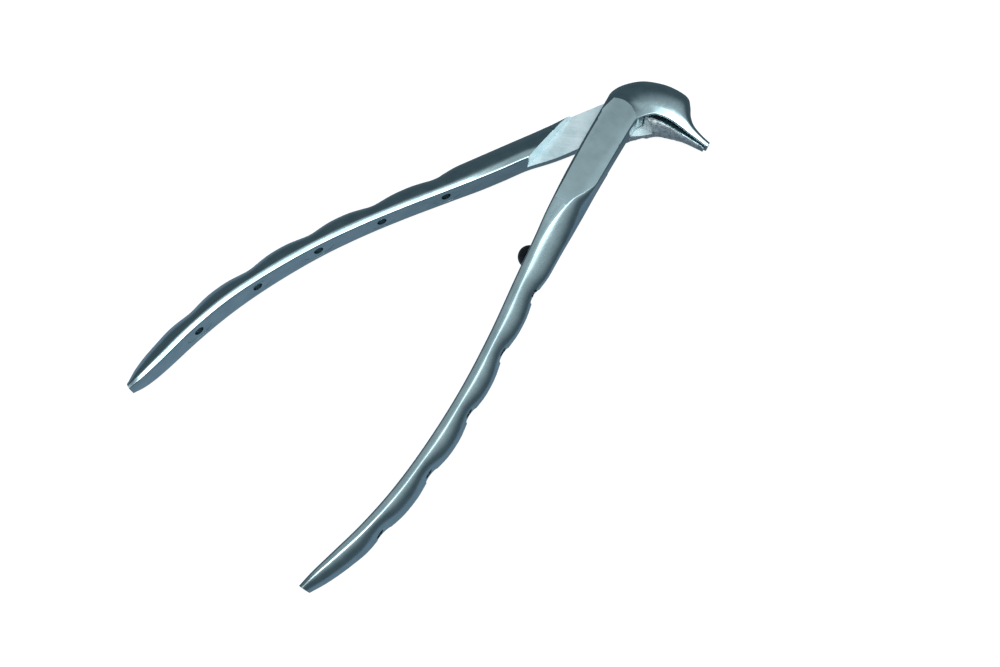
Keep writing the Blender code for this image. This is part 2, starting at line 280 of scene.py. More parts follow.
def takeShape(item):
    # the modifiers' result becomes the mesh, and the cutters go
    bpy.context.view_layer.update()
    used = [modifier.object for modifier in item.modifiers]
    graph = bpy.context.evaluated_depsgraph_get()
    mesh = bpy.data.meshes.new_from_object(item.evaluated_get(graph))
    item.modifiers.clear()
    item.data = mesh
    for other in used:
        bpy.data.objects.remove(other, do_unlink=True)


def shadeSmooth(item, degrees):
    # smooth, but crisp where one finish meets another
    item.data.shade_smooth()
    item.data.set_sharp_from_angle(angle=math.radians(degrees))
    bm = bmesh.new()
    bm.from_mesh(item.data)
    for edge in bm.edges:
        if len({face.material_index for face in edge.link_faces}) > 1:
            edge.smooth = False
    bm.to_mesh(item.data)
    bm.free()


def innerPlace(rows, along, side, column=1, outward=1):
    # a matrix on a handle's inner or outer face at mid height, its Z pointing out of the steel
    ordered = sorted(rows)

    def across(at):
        for one, two in zip(ordered, ordered[1:]):
            if one[0] <= at <= two[0]:
                part = (at - one[0]) / (two[0] - one[0])
                return one[column] * (1 - part) + two[column] * part
        return ordered[0][column]

    here = onChord(along, across(along), side)
    after = onChord(along + 2, across(along + 2), side)
    run = (after - onChord(along - 2, across(along - 2), side)).normalized()
    out = Vector((run.y, -run.x, 0)) * side * outward
    up = Vector((0, 0, 1))
    turn = Matrix((up.cross(out), up, out)).transposed().to_4x4()
    return Matrix.Translation(place(here.x, here.y, midPlane)) @ turn


def drill(item, rows, first, pitch, side):
    # five bores, each with a pointed recess on the inner face and a smaller one in its finger valley
    bores = bmesh.new()
    mouths = bmesh.new()
    outlets = bmesh.new()
    bar = barMesh(lever["holeRadius"], -10, 4, 32, slots["bore"])
    lens = lensMesh(lever["mouthLength"], lever["mouthHeight"], lever["mouthDepth"])
    small = lensMesh(lever["outletLength"], lever["mouthHeight"], lever["outletDepth"])
    for k in range(lever["holes"]):
        along = first + k * pitch
        inner = innerPlace(rows, along, side)
        stamp(bores, bar, inner)
        stamp(mouths, lens, inner)
        outer = innerPlace(rows, along, side, column=2, outward=-1)
        stamp(outlets, small, outer @ Matrix.Translation((0, 0, -lever["scallop"] * mm)))
    # the bores go last, because their walls would leave slivers for the recesses to cut
    cut(item, newObject(item.name + "Mouths", mouths))
    cut(item, newObject(item.name + "Outlets", outlets))
    cut(item, newObject(item.name + "Bores", bores))


def newGroup(name, inputs, outputs):
    group = bpy.data.node_groups.new(name, "ShaderNodeTree")
    for label, kind, value in inputs:
        socket = group.interface.new_socket(name=label, in_out="INPUT", socket_type=kind)
        if value is not None:
            socket.default_value = value
    for label, kind in outputs:
        group.interface.new_socket(name=label, in_out="OUTPUT", socket_type=kind)
    nodes = group.nodes
    return group, nodes.new("NodeGroupInput"), nodes.new("NodeGroupOutput")


def math2(tree, operation, a, b=None, clamp=False):
    node = tree.nodes.new("ShaderNodeMath")
    node.operation = operation
    node.use_clamp = clamp
    for socket, value in zip(node.inputs, (a, b)):
        if value is None:
            continue
        if isinstance(value, (int, float)):
            socket.default_value = value
        else:
            tree.links.new(value, socket)
    return node.outputs[0]


def mixColor(tree, factor, a, b, blend="MIX"):
    node = tree.nodes.new("ShaderNodeMix")
    node.data_type = "RGBA"
    node.blend_type = blend
    for socket, value in ((node.inputs[0], factor), (node.inputs[6], a), (node.inputs[7], b)):
        if isinstance(value, (int, float)):
            socket.default_value = value
        elif isinstance(value, tuple):
            socket.default_value = (*value, 1)
        else:
            tree.links.new(value, socket)
    return node.outputs[2]


def noiseAt(tree, vector, scale, detail, stretch=None):
    if stretch:
        mapping = tree.nodes.new("ShaderNodeMapping")
        mapping.inputs["Scale"].default_value = stretch
        tree.links.new(vector, mapping.inputs["Vector"])
        vector = mapping.outputs[0]
    node = tree.nodes.new("ShaderNodeTexNoise")
    node.inputs["Scale"].default_value = scale
    node.inputs["Detail"].default_value = detail
    tree.links.new(vector, node.inputs["Vector"])
    return node.outputs[0]


def rampAt(tree, value, low, high):
    node = tree.nodes.new("ShaderNodeMapRange")
    node.interpolation_type = "SMOOTHSTEP"
    node.inputs["From Min"].default_value = low
    node.inputs["From Max"].default_value = high
    tree.links.new(value, node.inputs["Value"])
    return node.outputs[0]


finish = {
    # rough is the mean roughness and spread its swing, streaks the share of long grain over fine
    "satin": {"light": (0.56, 0.67, 0.69), "dark": (0.42, 0.52, 0.55), "rough": 0.2, "spread": 0.1,
              "streaks": 0.4, "scratches": 0.3, "bump": 0.07},
    # the lap is polished, and its near-white colour is a painted sheen standing in for its bright
    # reflection
    "lap": {"light": (0.95, 1.0, 1.0), "dark": (0.62, 0.74, 0.78), "rough": 0.42, "spread": 0.2,
            "streaks": 0.4, "scratches": 0.6, "bump": 0.25, "turn": -0.9},
    # the bore walls are painted much darker than the satin steel: a painted shade inside the holes
    "bore": {"light": (0.40, 0.47, 0.49), "dark": (0.16, 0.19, 0.20), "rough": 0.4, "spread": 0.3,
             "streaks": 0.7, "scratches": 0.4, "bump": 0.3},
    "plate": {"light": (0.43, 0.52, 0.54), "dark": (0.34, 0.42, 0.44), "rough": 0.36, "spread": 0.12,
              "streaks": 0.3, "bump": 0.25, "halfWidth": 4.6, "border": 0.4,
              "fadeFrom": -24, "fadeTo": -40},      # down the handle, where it turns into satin
    "grip": {"light": (0.95, 0.97, 0.97), "dark": (0.42, 0.45, 0.46), "rust": (0.10, 0.045, 0.02),
             "rough": 0.5, "bump": 0.4},
    "black": {"light": (0.03, 0.032, 0.036), "dark": (0.010, 0.011, 0.013), "worn": (0.09, 0.095, 0.10),
              "rough": 0.36, "spread": 0.25, "bump": 0.4},
}


def grainGroup():
    # brushed grain: streaks run along Y of the given vector, with slow clouding under them
    group, inside, out = newGroup(
        "steelGrain",
        [("Vector", "NodeSocketVector", None), ("Light", "NodeSocketColor", (0.6, 0.6, 0.6, 1)),
         ("Dark", "NodeSocketColor", (0.4, 0.4, 0.4, 1)), ("Roughness", "NodeSocketFloat", 0.3),
         ("Spread", "NodeSocketFloat", 0.1), ("Streaks", "NodeSocketFloat", 0.5)],
        [("Color", "NodeSocketColor"), ("Roughness", "NodeSocketFloat"), ("Height", "NodeSocketFloat")])
    vector = inside.outputs["Vector"]
    cloud = noiseAt(group, vector, 260, 3)                      # patches of about 4 mm
    fine = noiseAt(group, vector, 5200, 2)                      # grains of about 0.2 mm
    streak = noiseAt(group, vector, 2600, 3, (1, 0.09, 1))      # about 0.4 mm wide and 4 mm long
    worked = math2(group, "MULTIPLY", streak, inside.outputs["Streaks"])
    rest = math2(group, "SUBTRACT", 1, inside.outputs["Streaks"])
    grain = math2(group, "ADD", worked, math2(group, "MULTIPLY", fine, rest))
    clouding = math2(group, "MULTIPLY", cloud, 0.45)
    tone = math2(group, "ADD", clouding, math2(group, "MULTIPLY", grain, 0.55))
    color = mixColor(group, rampAt(group, tone, 0.3, 0.7), inside.outputs["Dark"],
                     inside.outputs["Light"])
    group.links.new(color, out.inputs["Color"])
    swing = math2(group, "MULTIPLY", math2(group, "SUBTRACT", tone, 0.5), inside.outputs["Spread"])
    rough = math2(group, "ADD", swing, inside.outputs["Roughness"], clamp=True)
    group.links.new(rough, out.inputs["Roughness"])
    group.links.new(grain, out.inputs["Height"])
    return group


def scratchGroup():
    # long thin scratches in two directions, broken up by a slow mask
    group, inside, out = newGroup(
        "fineScratches",
        [("Vector", "NodeSocketVector", None), ("Amount", "NodeSocketFloat", 0.5)],
        [("Mask", "NodeSocketFloat")])
    masks = []
    for angle in (0.35, -0.6):
        mapping = group.nodes.new("ShaderNodeMapping")
        mapping.inputs["Rotation"].default_value = (0, 0, angle)
        group.links.new(inside.outputs["Vector"], mapping.inputs["Vector"])
        lines = noiseAt(group, mapping.outputs[0], 5200, 1, (1, 0.02, 1))
        masks.append(rampAt(group, lines, 0.66, 0.74))
    both = math2(group, "MAXIMUM", masks[0], masks[1])
    patch = rampAt(group, noiseAt(group, inside.outputs["Vector"], 420, 1), 0.4, 0.62)
    broken = math2(group, "MULTIPLY", both, patch)
    mask = math2(group, "MULTIPLY", broken, inside.outputs["Amount"])
    group.links.new(mask, out.inputs["Mask"])
    return group


steelGrain = grainGroup()
fineScratches = scratchGroup()


def addGroup(tree, group, **values):
    node = tree.nodes.new("ShaderNodeGroup")
    node.node_tree = group
    for label, value in values.items():
        socket = node.inputs[label]
        if isinstance(value, tuple):
            socket.default_value = (*value, 1)
        elif isinstance(value, (int, float)):
            socket.default_value = value
        else:
            tree.links.new(value, socket)
    return node


def objectVector(tree, center=(0, 0, 0), turn=0.0):
    # object coordinates, moved and turned about Z so that a pattern lies along the piece
    coordinates = tree.nodes.new("ShaderNodeTexCoord")
    mapping = tree.nodes.new("ShaderNodeMapping")
    mapping.vector_type = "TEXTURE"
    mapping.inputs["Location"].default_value = center
    mapping.inputs["Rotation"].default_value = (0, 0, turn)
    tree.links.new(coordinates.outputs["Object"], mapping.inputs["Vector"])
    return mapping.outputs[0]


def newMaterial(name, metallic=1.0):
    material = bpy.data.materials.new(name)
    material.use_nodes = True
    shader = material.node_tree.nodes["Principled BSDF"]
    shader.inputs["Metallic"].default_value = metallic
    return material, material.node_tree, shader


def bumpInto(tree, shader, height, strength, distance):
    bump = tree.nodes.new("ShaderNodeBump")
    bump.inputs["Strength"].default_value = strength
    bump.inputs["Distance"].default_value = distance * mm
    tree.links.new(height, bump.inputs["Height"])
    tree.links.new(bump.outputs[0], shader.inputs["Normal"])


def lighter(color, factor):
    return tuple(min(1, factor * part) for part in color)


def steelFinish(name, look):
    material, tree, shader = newMaterial(name)
    vector = objectVector(tree, turn=look.get("turn", 0.0))
    grain = addGroup(tree, steelGrain, Vector=vector, Light=look["light"], Dark=look["dark"],
                     Roughness=look["rough"], Spread=look["spread"], Streaks=look["streaks"])
    lines = addGroup(tree, fineScratches, Vector=vector, Amount=look["scratches"])
    color = mixColor(tree, lines.outputs["Mask"], grain.outputs["Color"], lighter(look["light"], 1.5))
    tree.links.new(color, shader.inputs["Base Color"])
    tree.links.new(grain.outputs["Roughness"], shader.inputs["Roughness"])
    height = math2(tree, "SUBTRACT", grain.outputs["Height"], lines.outputs["Mask"])
    bumpInto(tree, shader, height, look["bump"], 0.02)
    return material


def plateFinish(name, look, satinLook, turn):
    # ground plate: streaks across it, a lighter worn border along both long edges, and plain satin
    # further down the handle
    material, tree, shader = newMaterial(name)
    vector = objectVector(tree, place(0, 0, 0), turn)
    across = objectVector(tree, place(0, 0, 0), turn + math.pi / 2)
    grain = addGroup(tree, steelGrain, Vector=across, Light=look["light"], Dark=look["dark"],
                     Roughness=look["rough"], Spread=look["spread"], Streaks=look["streaks"])
    axes = tree.nodes.new("ShaderNodeSeparateXYZ")
    tree.links.new(vector, axes.inputs[0])
    off = math2(tree, "ABSOLUTE", axes.outputs["X"])
    ragged = math2(tree, "MULTIPLY", noiseAt(tree, vector, 900, 2), 1.2 * mm)
    border = rampAt(tree, math2(tree, "ADD", off, ragged), (look["halfWidth"] - 1.6) * mm,
                    (look["halfWidth"] + 0.7) * mm)
    worn = math2(tree, "MULTIPLY", border, look["border"])
    color = mixColor(tree, worn, grain.outputs["Color"], lighter(look["light"], 1.45))
    onPlate = rampAt(tree, axes.outputs["Y"], look["fadeTo"] * mm, look["fadeFrom"] * mm)
    middle = tuple((one + two) / 2 for one, two in zip(satinLook["light"], satinLook["dark"]))
    tree.links.new(mixColor(tree, onPlate, middle, color), shader.inputs["Base Color"])
    over = math2(tree, "SUBTRACT", grain.outputs["Roughness"], satinLook["rough"])
    rough = math2(tree, "ADD", math2(tree, "MULTIPLY", over, onPlate), satinLook["rough"])
    tree.links.new(rough, shader.inputs["Roughness"])
    height = math2(tree, "MULTIPLY", grain.outputs["Height"], onPlate)
    bumpInto(tree, shader, height, look["bump"], 0.02)
    return material


def gripFinish(name, look):
    # rough grip: bright grit in a dull bed, with a few rust-brown specks
    material, tree, shader = newMaterial(name)
    vector = objectVector(tree)
    grit = tree.nodes.new("ShaderNodeTexVoronoi")
    grit.inputs["Scale"].default_value = 4200      # grains of about 0.25 mm
    tree.links.new(vector, grit.inputs["Vector"])
    patch = noiseAt(tree, vector, 700, 4)
    tone = math2(tree, "ADD", math2(tree, "MULTIPLY", grit.outputs["Distance"], 0.7), patch)
    color = mixColor(tree, rampAt(tree, tone, 0.55, 1.0), look["dark"], look["light"])
    rust = rampAt(tree, noiseAt(tree, vector, 1500, 1), 0.69, 0.75)
    tree.links.new(mixColor(tree, rust, color, look["rust"]), shader.inputs["Base Color"])
    rough = math2(tree, "ADD", math2(tree, "MULTIPLY", patch, 0.25), look["rough"])
    tree.links.new(rough, shader.inputs["Roughness"])
    tree.links.new(math2(tree, "SUBTRACT", 1, rust), shader.inputs["Metallic"])
    bumpInto(tree, shader, tone, look["bump"], 0.05)
    return material


def blackFinish(name, look):
    material, tree, shader = newMaterial(name, 0.6)
    vector = objectVector(tree)
    grain = addGroup(tree, steelGrain, Vector=vector, Light=look["light"], Dark=look["dark"],
                     Roughness=look["rough"], Spread=look["spread"], Streaks=0.0)
    worn = rampAt(tree, noiseAt(tree, vector, 1800, 3), 0.62, 0.74)
    color = mixColor(tree, worn, grain.outputs["Color"], look["worn"])
    tree.links.new(color, shader.inputs["Base Color"])
    tree.links.new(grain.outputs["Roughness"], shader.inputs["Roughness"])
    bumpInto(tree, shader, grain.outputs["Height"], look["bump"], 0.03)
    return material


satin = steelFinish("satinSteel", finish["satin"])
# polished lap whose near-white colour paints the sheen of its bright reflection
lapSteelPaintedSheen = steelFinish("polishedLapPaintedSheen", finish["lap"])
plateSteel = plateFinish("groundPlate", finish["plate"], finish["satin"],
                         math.radians(lever["halfOpening"]))
gripSteel = gripFinish("roughGrip", finish["grip"])
# darker steel on every bore wall, which paints the shade inside the holes
boreSteelPaintedShade = steelFinish("boreSteelPaintedShade", finish["bore"])
blackSteel = blackFinish("blackenedSteel", finish["black"])
leverFinishes = [satin, lapSteelPaintedSheen, plateSteel, gripSteel, boreSteelPaintedShade]      # in the order of slots
print("finishes:", len(finish))


frontLever = {
    # along the chord, inner side, outer side, half height, upper land, lower land, lower inner rounding
    "handle": [
        (146.3, -0.6, 2.0, 2.0, 0.9, 0.9, 0.45), (142.0, 0.3, 4.3, 2.9, 1.2, 1.2, 0.45),
        (136.0, 1.8, 6.7, 3.5, 1.5, 1.5, 0.45), (127.0, 3.9, 9.4, 4.0, 1.8, 1.8, 0.45),
        (116.0, 5.4, 10.8, 4.0, 1.8, 1.8, 0.45), (103.0, 5.9, 11.6, 3.8, 1.8, 1.8, 0.45),
        (88.0, 5.4, 11.2, 3.5, 1.8, 1.8, 0.45), (72.0, 3.7, 9.7, 3.4, 1.9, 1.9, 0.45),
        (56.0, 1.2, 8.2, 3.5, 2.0, 1.9, 0.45), (44.0, -0.5, 7.2, 4.0, 1.8, 1.9, 0.45),
        (37.0, -1.6, 6.8, 4.5, 2.9, 2.0, 0.45), (30.5, -2.4, 6.4, 4.9, 4.9, 2.1, 0.45),
        (26.5, -2.9, 6.1, 4.98, 7.2, 2.2, 0.45), (22.0, -3.4, 5.8, 5.0, 8.9, 2.4, 0.45),
        (12.0, -4.3, 5.3, 5.0, 9.35, 2.6, 0.45), (3.0, -4.9, 4.9, 5.0, 9.55, 9.0, 0.45),
    ],
    # back x and y, parting face x and y, half height, rim, rim's tilt, roundness of the dome
    "jaw": [
        (-6.2, 0.8, 5.0, 0.3, 4.88, 8.8, 0, 1.6), (-7.2, 3.8, 5.5, 2.2, 4.7, 5.4, 1, 1.7),
        (-6.4, 7.7, 6.1, 3.8, 4.6, 3.7, 4, 1.8), (-3.5, 12.2, 6.9, 5.1, 4.55, 3.1, 8, 1.9),
        (1.4, 15.5, 8.0, 6.0, 4.4, 2.8, 10, 2.0), (5.8, 16.9, 9.4, 6.7, 4.2, 2.7, 10, 2.0),
        (9.0, 17.0, 11.0, 7.2, 3.9, 2.6, 10, 2.0), (11.2, 15.4, 12.6, 7.5, 3.6, 2.4, 10, 1.9),
        (13.4, 13.1, 14.4, 7.8, 3.2, 2.2, 9, 1.8), (15.9, 11.6, 16.6, 8.1, 2.6, 1.6, 8, 1.8),
        (19.2, 11.0, 19.4, 8.6, 1.9, 1.0, 8, 1.8), (22.0, 10.9, 22.5, 9.0, 1.4, 0.8, 8, 1.8),
    ],
    "holes": (56.5, 17.4),    # first hole along the chord, and the pitch
    "roundness": 1.35,
    "tilt": 5,                # of the handle's land, down towards the inner face
    "lap": [(9.8, -9.2), (7.2, -29.5), (-14.0, -29.5), (-14.0, 3.0), (0.0, 3.0), (14.0, 0.0),
            (14.0, -9.2)],
    "eyeRoom": 7.1,
    "pivotBore": 2.5,
    "pivotBoreTop": 8.3,
    "plateEnd": (0.1, -2.8),  # centre of the ground plate's round end
    "plateEndRadius": 4.95,
    "plateEndSlope": 24,
    "plateFinish": (-44, 3),  # the finish's reach across the view, from the handle to past the pivot
    "plateSkim": 0.01,        # taken off the plate so that its outline comes out crisp
    "stopAt": 48.0,
    "stopBore": 1.55,
    "stopDepth": 3.9,
}


def leverSections(spec, side):
    rings = []
    for row in smoothRows(spec["handle"], lever["handleSteps"]):
        along, inner, outer, half, upper, lower, lowerEdge = row
        outer -= fingerValley(along, *spec["holes"])
        part = (along - lever["tiltFrom"]) / (lever["tiltFull"] - lever["tiltFrom"])
        tilt = spec["tilt"] * min(1.0, max(0.0, part))
        left = along - spec["handle"][-1][0]
        order = "handle" if left > 7 else "outer" if left > 5 else "inner" if left > 3 else "jaw"
        rings.append(sectionRing(onChord(along, inner, side), onChord(along, outer, side), half,
                                 (upper, lower), lowerEdge, tilt, spec["roundness"],
                                 lever["handleRise"], lever[order + "Points"]))
    for row in smoothRows(spec["jaw"], lever["jawSteps"]):
        backX, backY, faceX, faceY, half, flat, tilt, power = row
        ring = sectionRing(Vector((faceX, faceY)), Vector((backX, backY)), half, (flat, flat),
                           lever["edge"], tilt, power, lever["jawRise"], lever["handlePoints"])
        rings.append(swapSides(ring))
    return rings


def liftPlateEnd(rings):
    # the dome beyond the plate rises to a cone, so that the plate ends in a round
    center = place(*frontLever["plateEnd"], 0)
    slope = math.tan(math.radians(frontLever["plateEndSlope"]))
    turn = math.radians(lever["halfOpening"])
    for ring in rings:
        for point in ring:
            away = (Vector((point.x, point.y, 0)) - center) / mm
            forward = away.y * math.cos(turn) - away.x * math.sin(turn)
            level = topPlane + (frontLever["plateEndRadius"] - away.length) * slope
            height = point.z / mm
            if forward < -1 or height < midPlane + 1:
                continue
            weight = min(1.0, (height - midPlane - 1) / 2.6, (forward + 1) / 3)
            blend = max(0.0, 0.5 - abs(level - height)) ** 2 / 2
            raised = max(level, height) + blend - height
            point.z += raised * weight ** 2 * (3 - 2 * weight) * mm


def skimPlate(item):
    # everything over the plate's plane comes off in one level cut
    bm = bmesh.new()
    bm.from_mesh(item.data)
    bmesh.ops.bisect_plane(bm, geom=bm.verts[:] + bm.edges[:] + bm.faces[:], dist=0.0005 * mm,
                           plane_co=(0, 0, (topPlane - frontLever["plateSkim"]) * mm),
                           plane_no=(0, 0, 1), clear_outer=True)
    bmesh.ops.holes_fill(bm, edges=[edge for edge in bm.edges if edge.is_boundary], sides=0)
    bmesh.ops.remove_doubles(bm, verts=bm.verts, dist=0.004 * mm)
    bmesh.ops.recalc_face_normals(bm, faces=bm.faces)
    bm.to_mesh(item.data)
    bm.free()


def makeFrontLever():
    rings = leverSections(frontLever, 1)
    liftPlateEnd(rings)
    item = pushThrough("frontLeverForging", rings)
    skimPlate(item)
    for material in leverFinishes:
        item.data.materials.append(material)
    floor = midPlane + lever["lapGap"]
    cut(item, cutterPlate("frontLap", frontLever["lap"], -2, floor, slots["lap"]))
    room = bmesh.new()
    upright = Matrix.Translation(place(0, 0, 0))
    stamp(room, barMesh(frontLever["eyeRoom"], -2, floor + 0.01, 96, slots["lap"]), upright)
    cut(item, newObject("eyeRoom", room))
    bore = bmesh.new()
    pin = barMesh(frontLever["pivotBore"], -2, frontLever["pivotBoreTop"], 48, slots["bore"])
    stamp(bore, pin, upright)
    cut(item, newObject("pivotBore", bore))
    drill(item, frontLever["handle"], *frontLever["holes"], 1)
    seat = bmesh.new()
    stopPlace = innerPlace(frontLever["handle"], frontLever["stopAt"], 1)
    thread = barMesh(frontLever["stopBore"], -frontLever["stopDepth"], 4, 32, slots["bore"])
    stamp(seat, thread, stopPlace)
    cut(item, newObject("stopSeat", seat))
    takeShape(item)
    first, last = frontLever["plateFinish"]
    for face in item.data.polygons:
        high = face.center.z > (topPlane - 0.8) * mm
        near = place(0, first, 0).y < face.center.y < place(0, last, 0).y
        if face.material_index == slots["satin"] and high and near and face.normal.z > 0.998:
            face.material_index = slots["plate"]
    shadeSmooth(item, lever["crease"])
    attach(item, "front_half")
    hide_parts("front_lever")
    print("front lever:", len(item.data.polygons), "faces")


makeFrontLever()

rearLever = {
    # the same columns as on the front lever
    "handle": [
        (144.3, -0.6, 1.5, 2.0, 0.9, 0.9, 0.45), (140.5, -0.2, 4.2, 2.9, 1.2, 1.2, 0.45),
        (135.0, 1.1, 6.8, 3.4, 1.4, 1.5, 0.45), (124.0, 4.3, 10.8, 3.8, 1.5, 1.6, 0.45),
        (113.0, 6.6, 12.8, 3.9, 1.5, 1.6, 0.45), (101.0, 7.8, 14.0, 3.7, 1.5, 1.6, 0.45),
        (88.0, 8.1, 14.3, 3.5, 1.5, 1.6, 0.45), (76.0, 7.4, 13.7, 3.4, 1.5, 1.6, 0.45),
        (64.0, 6.0, 12.4, 3.4, 1.5, 1.6, 0.45), (51.0, 4.0, 11.2, 3.6, 1.5, 1.8, 0.6),
        (43.0, 2.7, 10.4, 3.9, 1.6, 2.2, 0.9), (36.0, 1.6, 9.7, 4.3, 1.8, 4.2, 1.7),
        (29.0, 0.7, 9.0, 4.6, 2.0, 6.4, 2.4), (21.0, -1.0, 8.2, 4.9, 2.4, 8.0, 2.6),
        (11.0, -2.0, 7.4, 5.0, 6.0, 8.6, 2.0),
    ],
    "jaw": [
        (4.7, -3.2, -6.7, -0.6, 5.0, 10.6, 0, 1.8), (6.9, -0.8, -4.6, 2.9, 5.0, 9.6, 0, 1.8),
        (8.0, 0.6, 0.6, 4.6, 4.9, 4.8, 5, 1.8), (8.7, 1.8, 5.45, 3.1, 4.5, 1.7, 14, 1.8),
        (9.4, 2.7, 6.9, 4.2, 4.0, 1.2, 22, 1.8), (10.6, 4.0, 9.2, 5.6, 3.4, 0.9, 24, 1.8),
        (12.9, 5.4, 12.7, 6.7, 2.6, 0.7, 24, 1.8), (16.4, 6.75, 16.4, 7.5, 1.7, 0.4, 22, 1.8),
        (20.4, 7.75, 20.3, 8.25, 1.2, 0.3, 20, 1.8), (22.05, 8.0, 22.0, 8.5, 0.9, 0.3, 20, 1.8),
    ],
    "holes": (52.0, 17.8),
    "roundness": 1.5,
    "tilt": 7,
    "lap": [(-9.8, -9.2), (-7.2, -29.5), (14.0, -29.5), (14.0, 2.4), (5.95, 2.4), (6.5, 3.8),
            (7.3, 5.1), (7.3, 9.0), (-14.0, 9.0)],
    "eye": 5.2,
    "pivotBore": 2.5,
    "headBore": 3.7,
    "headDepth": 2.2,
    # plan line between the smooth rim and the rough back
    "gripEdge": [(5.4, 3.2), (7.0, 4.1), (8.0, 4.5), (9.8, 5.1), (12.8, 6.1), (16.4, 7.1), (20.5, 8.0)],
    "gripDepth": 0.08,
}


def roughenGrip(item):
    # the grip's faces are split finer and pitted along their normals
    bm = bmesh.new()
    bm.from_mesh(item.data)
    grip = slots["grip"]
    rough = [face for face in bm.faces if face.material_index == grip]
    edges = list({edge for face in rough for edge in face.edges})
    bmesh.ops.subdivide_edges(bm, edges=edges, cuts=1, use_grid_fill=True)
    bm.normal_update()
    inside = {vert for face in bm.faces if face.material_index == grip for vert in face.verts}
    inside = [vert for vert in inside if all(face.material_index == grip for face in vert.link_faces)]
    moves = []
    for vert in inside:
        spot = vert.co / mm
        lumps = noise.fractal(spot * 1.3, 0.8, 2.2, 4)
        pits = noise.noise(spot * 4.5 + Vector((7, 3, 1)))
        moves.append(vert.normal * (lumps * 0.6 + pits * 0.55 - 0.25) * rearLever["gripDepth"] * mm)
    for vert, move in zip(inside, moves):
        vert.co += move
    bm.to_mesh(item.data)
    bm.free()


def makeRearLever():
    item = pushThrough("rearLeverForging", leverSections(rearLever, -1))
    for material in leverFinishes:
        item.data.materials.append(material)
    upright = Matrix.Translation(place(0, 0, 0))
    eye = bmesh.new()
    ceiling = midPlane - lever["lapGap"]
    stamp(eye, barMesh(rearLever["eye"], 0.3, ceiling - 0.01, 96, slots["lap"]), upright)
    cut(item, newObject("eye", eye), "UNION")
    cut(item, cutterPlate("rearLap", rearLever["lap"], ceiling, topPlane + 2, slots["lap"]))
    bore = bmesh.new()
    stamp(bore, barMesh(rearLever["pivotBore"], -2, midPlane + 2, 48, slots["bore"]), upright)
    cut(item, newObject("rearPivotBore", bore))
    head = bmesh.new()
    stamp(head, barMesh(rearLever["headBore"], -2, rearLever["headDepth"], 64, slots["bore"]), upright)
    cut(item, newObject("headBore", head))
    drill(item, rearLever["handle"], *rearLever["holes"], -1)
    takeShape(item)
    for face in item.data.polygons:
        x = face.center.x / mm - pivot.x
        y = face.center.y / mm - pivot.y
        if face.normal.z > 0.99 and abs(face.center.z / mm - ceiling) < 0.03:
            face.material_index = slots["lap"]
        elif face.material_index == slots["lap"] and face.center.z > (midPlane - 0.1) * mm:
            # the lap's upright walls, rough on the jaw and satin on the handle
            face.material_index = slots["grip" if x > rearLever["gripEdge"][0][0] else "satin"]
        if face.material_index != slots["satin"]:
            continue
        for (x1, y1), (x2, y2) in zip(rearLever["gripEdge"], rearLever["gripEdge"][1:]):
            if x1 < x <= x2 and y < y1 + (y2 - y1) * (x - x1) / (x2 - x1):
                face.material_index = slots["grip"]
    roughenGrip(item)
    shadeSmooth(item, lever["crease"])
    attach(item, "rear_half")
    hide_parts("rear_lever")
    print("rear lever:", len(item.data.polygons), "faces")


makeRearLever()

pivotScrew = {
    "shank": 2.2, "top": 8.0, "head": 3.4, "headTop": 1.9, "face": 0.1, "rounding": 0.3,
    "slotWidth": 0.9, "slotDepth": 1.0,
}


def makePivotScrew():
    spec = pivotScrew
    size = spec["rounding"]
    angles = [math.radians(15 * k) for k in range(7)]
    corner = [(spec["head"] - size + size * math.cos(angle),
               spec["face"] + size - size * math.sin(angle)) for angle in angles]
    profile = [(0, spec["top"]), (spec["shank"] - size, spec["top"]),
               (spec["shank"], spec["top"] - size), (spec["shank"], spec["headTop"]),
               (spec["head"] - 0.1, spec["headTop"]), (spec["head"], spec["headTop"] - 0.1),
               *corner, (0, spec["face"])]
    bm = turnedShape(profile, 64)
    bmesh.ops.translate(bm, verts=bm.verts, vec=place(0, 0, 0))
    item = newObject("pivotScrewTurned", bm)
    item.data.materials.append(satin)
    reach = spec["head"] + 1
    half = spec["slotWidth"] / 2
    slot = cutterPlate("pivotSlot", [(-reach, -half), (reach, -half), (reach, half), (-reach, half)],
                       spec["face"] - 1, spec["face"] + spec["slotDepth"], 0)
    cut(item, slot)
    takeShape(item)
    shadeSmooth(item, 35)
    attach(item, "front_half")
    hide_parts("pivot_screw")
    print("pivot screw:", len(item.data.polygons), "faces")


makePivotScrew()

stopScrew = {
    "head": 2.9, "height": 2.2, "lift": 0.3, "shank": 1.25, "length": 3.6,
    "flats": 1.5,             # hexagon socket, across its flats
    "socketDepth": 1.2,
}


def makeStopScrew():
    spec = stopScrew
    sphere = (spec["head"] ** 2 + spec["height"] ** 2) / (2 * spec["height"])
    crown = math.asin(spec["head"] / sphere)
    center = spec["lift"] + spec["height"] - sphere
    angles = [crown * k / 20 for k in range(20)]
    dome = [(sphere * math.sin(angle), center + sphere * math.cos(angle)) for angle in angles]
    profile = [*dome, (spec["head"], spec["lift"] + 0.15), (spec["head"] - 0.12, spec["lift"]),
               (spec["shank"], spec["lift"]), (spec["shank"], 0.3 - spec["length"]),
               (spec["shank"] - 0.3, -spec["length"]), (0, -spec["length"])]
    item = newObject("stopScrewTurned", turnedShape(profile, 64))
    item.data.materials.append(blackSteel)
    socket = bmesh.new()
    hexagon = barMesh(spec["flats"] / math.sqrt(3), spec["height"] - spec["socketDepth"],
                      spec["height"] + 2, 6, 0)
    stamp(socket, hexagon, Matrix())
    cut(item, newObject("stopSocket", socket))
    takeShape(item)
    item.data.transform(innerPlace(frontLever["handle"], frontLever["stopAt"], 1))
    shadeSmooth(item, 35)
    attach(item, "stop")
    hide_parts("stop_screw")
    print("stop screw:", len(item.data.polygons), "faces")


makeStopScrew()

